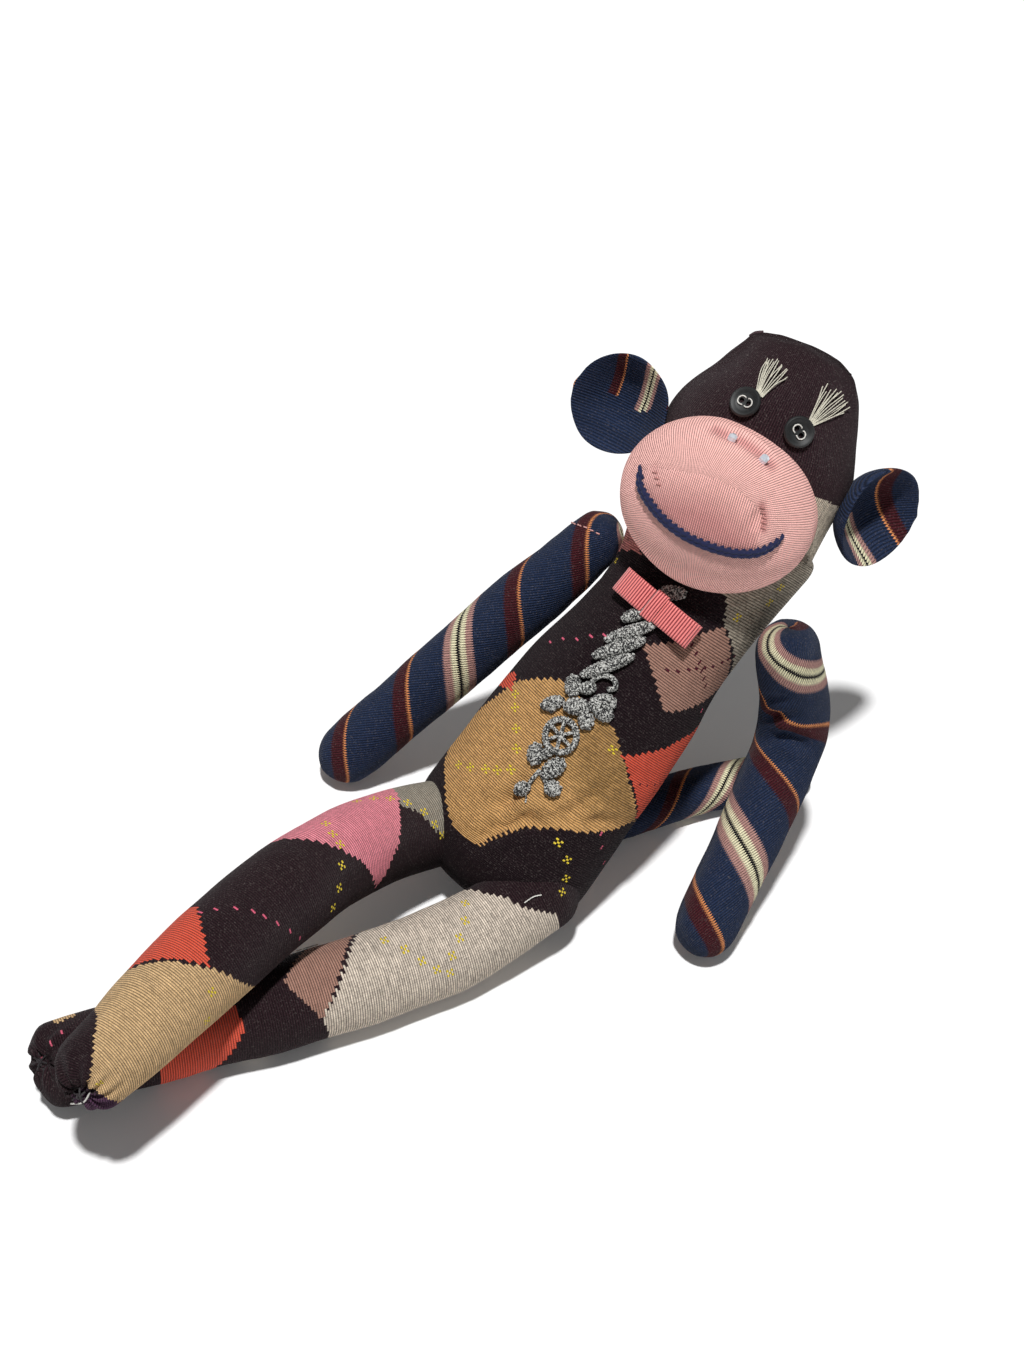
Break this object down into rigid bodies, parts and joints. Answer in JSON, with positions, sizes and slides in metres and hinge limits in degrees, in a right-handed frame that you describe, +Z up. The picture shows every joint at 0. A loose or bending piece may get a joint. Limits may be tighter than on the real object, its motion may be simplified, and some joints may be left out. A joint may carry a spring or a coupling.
{
  "type": "sock monkey doll",
  "caption": "Reclining stuffed monkey sewn from argyle and striped socks, with button eyes, a pink muzzle, a ribbon bow, a crocheted tie and crossed legs.",
  "frame": {"origin": "middle of the doll's footprint on the floor, in its reclining pose", "axes": "+Z up, the doll faces -Y and its feet point that way, and its own left side is +X"},
  "size_m": [0.1758, 0.3588, 0.1919],
  "materials": {
    "stuffing": "loose polyester fibre",
    "head_knit": "fine heather jersey knit",
    "muzzle_knit": "ribbed sock heel knit",
    "argyle_knit": "argyle intarsia sock knit",
    "striped_knit": "striped sock knit",
    "button": "semi-matte moulded button",
    "cream_thread": "cut cotton thread",
    "bead": "clear glass bead",
    "mouth_yarn": "twisted wool yarn",
    "crochet": "crocheted grey marl yarn",
    "ribbon": "grosgrain ribbon",
    "dark_thread": "doubled sewing thread"
  },
  "bodies": {
    "torso": {"torso_cover": "argyle_knit", "torso_stuffing": "stuffing", "trim_rope": "crochet", "trim_leaf_cluster": "crochet", "trim_ring": "crochet", "trim_petals": "crochet", "bow_loops": "ribbon", "bow_wrap": "ribbon"},
    "head": {"head_cover": "head_knit", "head_stuffing": "stuffing", "muzzle_cover": "muzzle_knit", "muzzle_stuffing": "stuffing", "eye_button_right": "button", "eye_thread_right": "cream_thread", "lash_tassel_right": "cream_thread", "eye_button_left": "button", "eye_thread_left": "cream_thread", "lash_tassel_left": "cream_thread", "nostril_bead_right": "bead", "nostril_bead_left": "bead", "mouth_yarn": "mouth_yarn"},
    "ear_right": {"ear_right_cover": "striped_knit", "ear_right_stuffing": "stuffing"},
    "ear_left": {"ear_left_cover": "striped_knit", "ear_left_stuffing": "stuffing"},
    "arm_right": {"arm_right_cover": "striped_knit", "arm_right_stuffing": "stuffing"},
    "arm_left": {"arm_left_cover": "striped_knit", "arm_left_stuffing": "stuffing"},
    "leg_right": {"leg_right_cover": "argyle_knit", "leg_right_stuffing": "stuffing", "foot_gather_right": "dark_thread"},
    "leg_left": {"leg_left_cover": "argyle_knit", "leg_left_stuffing": "stuffing", "foot_gather_left": "dark_thread"},
    "tail": {"tail_cover": "striped_knit", "tail_stuffing": "stuffing"}
  },
  "joints": [
    {"name": "neck", "type": "hinge", "parent": "torso", "child": "head", "pos_m": [0.00701, 0.12136, 0.12111], "axis": [0.9636, 0.2432, -0.1111], "range_deg": [-20, 8]},
    {"name": "ear_right_seam", "type": "hinge", "parent": "head", "child": "ear_right", "pos_m": [-0.03633, 0.12728, 0.14727], "axis": [-0.0624, 0.6088, 0.7909], "range_deg": [-20, 20]},
    {"name": "ear_left_seam", "type": "hinge", "parent": "head", "child": "ear_left", "pos_m": [0.03984, 0.14651, 0.13848], "axis": [-0.0624, 0.6088, 0.7909], "range_deg": [-20, 20]},
    {"name": "shoulder_right", "type": "hinge", "parent": "torso", "child": "arm_right", "pos_m": [-0.03373, 0.09922, 0.09836], "axis": [-1, 0, 0], "range_deg": [0, 80]},
    {"name": "shoulder_left", "type": "hinge", "parent": "torso", "child": "arm_left", "pos_m": [0.05188, 0.09845, 0.10371], "axis": [-1, 0, 0], "range_deg": [0, 80]},
    {"name": "hip_right", "type": "hinge", "parent": "torso", "child": "leg_right", "pos_m": [-0.02188, 0.00913, 0.02371], "axis": [-1, 0, 0], "range_deg": [0, 50]},
    {"name": "hip_left", "type": "hinge", "parent": "torso", "child": "leg_left", "pos_m": [0.02597, 0.00537, 0.02371], "axis": [0, 0, 1], "range_deg": [0, 40]},
    {"name": "tail_root", "type": "hinge", "parent": "torso", "child": "tail", "pos_m": [0.00841, 0.04312, 0.0093], "axis": [0, 0, 1], "range_deg": [-5, 60]}
  ]
}
